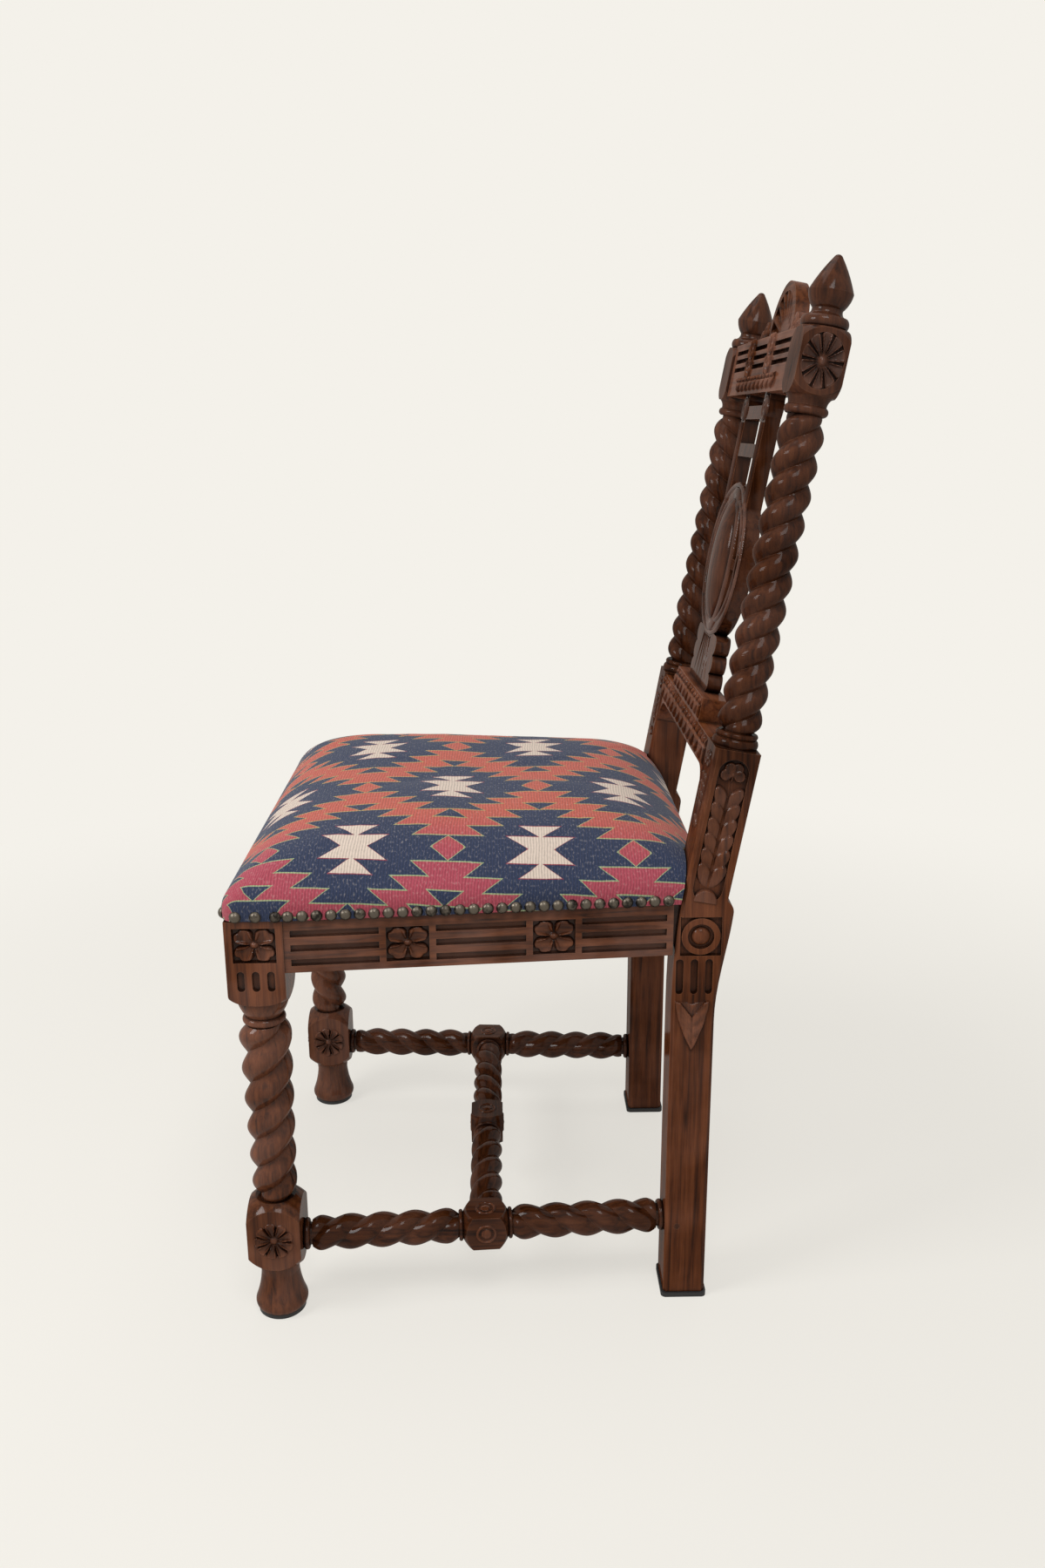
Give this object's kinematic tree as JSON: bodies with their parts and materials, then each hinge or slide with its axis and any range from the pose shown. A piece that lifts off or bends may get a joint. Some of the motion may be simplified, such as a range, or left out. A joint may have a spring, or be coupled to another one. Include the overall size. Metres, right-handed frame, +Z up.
{
  "type": "side chair",
  "caption": "Carved dark wood side chair with barley-twist legs, stretchers and posts, a pierced splat, a fan crest with finials and a stuffed-over patterned seat with domed nails.",
  "frame": {"origin": "on the floor, under the middle of the chair's box", "axes": "+Z up; +X to the sitter's left, which is the picture's near side; the sitter faces -Y"},
  "size_m": [0.4864, 0.566, 1.0012],
  "materials": {
    "frame_wood": "dark stained, waxed",
    "twist_wood": "dark stained, polished",
    "block_wood": "raw",
    "cover": "flat-woven wool",
    "stuffing": "hair and wadding",
    "sacking": "coarse jute",
    "webbing": "jute webbing",
    "nail": "antique, domed",
    "screw": "plain",
    "glide": "matte black"
  },
  "bodies": {
    "root": {"back_rail": "frame_wood", "back_splat": "frame_wood", "corner_block_front_left": "block_wood", "corner_block_front_right": "block_wood", "corner_block_rear_left": "block_wood", "corner_block_rear_right": "block_wood", "corner_screws": "screw", "crest_pediment": "frame_wood", "crest_rail": "frame_wood", "cross_stretcher": "twist_wood", "finial_left": "frame_wood", "finial_right": "frame_wood", "foot_glide_front_left": "glide", "foot_glide_front_right": "glide", "foot_glide_rear_left": "glide", "foot_glide_rear_right": "glide", "front_leg_left": "twist_wood", "front_leg_right": "twist_wood", "front_rail": "frame_wood", "glide_nails": "screw", "joint_pegs": "frame_wood", "lower_back_rail": "frame_wood", "rear_post_left": "frame_wood", "rear_post_right": "frame_wood", "seat_cover": "cover", "seat_hessian": "sacking", "seat_pad": "stuffing", "side_rail_left": "frame_wood", "side_rail_right": "frame_wood", "side_stretcher_left": "twist_wood", "side_stretcher_right": "twist_wood", "upholstery_nails": "nail", "webbing_crosswise": "webbing", "webbing_lengthwise": "webbing"}
  },
  "joints": []
}
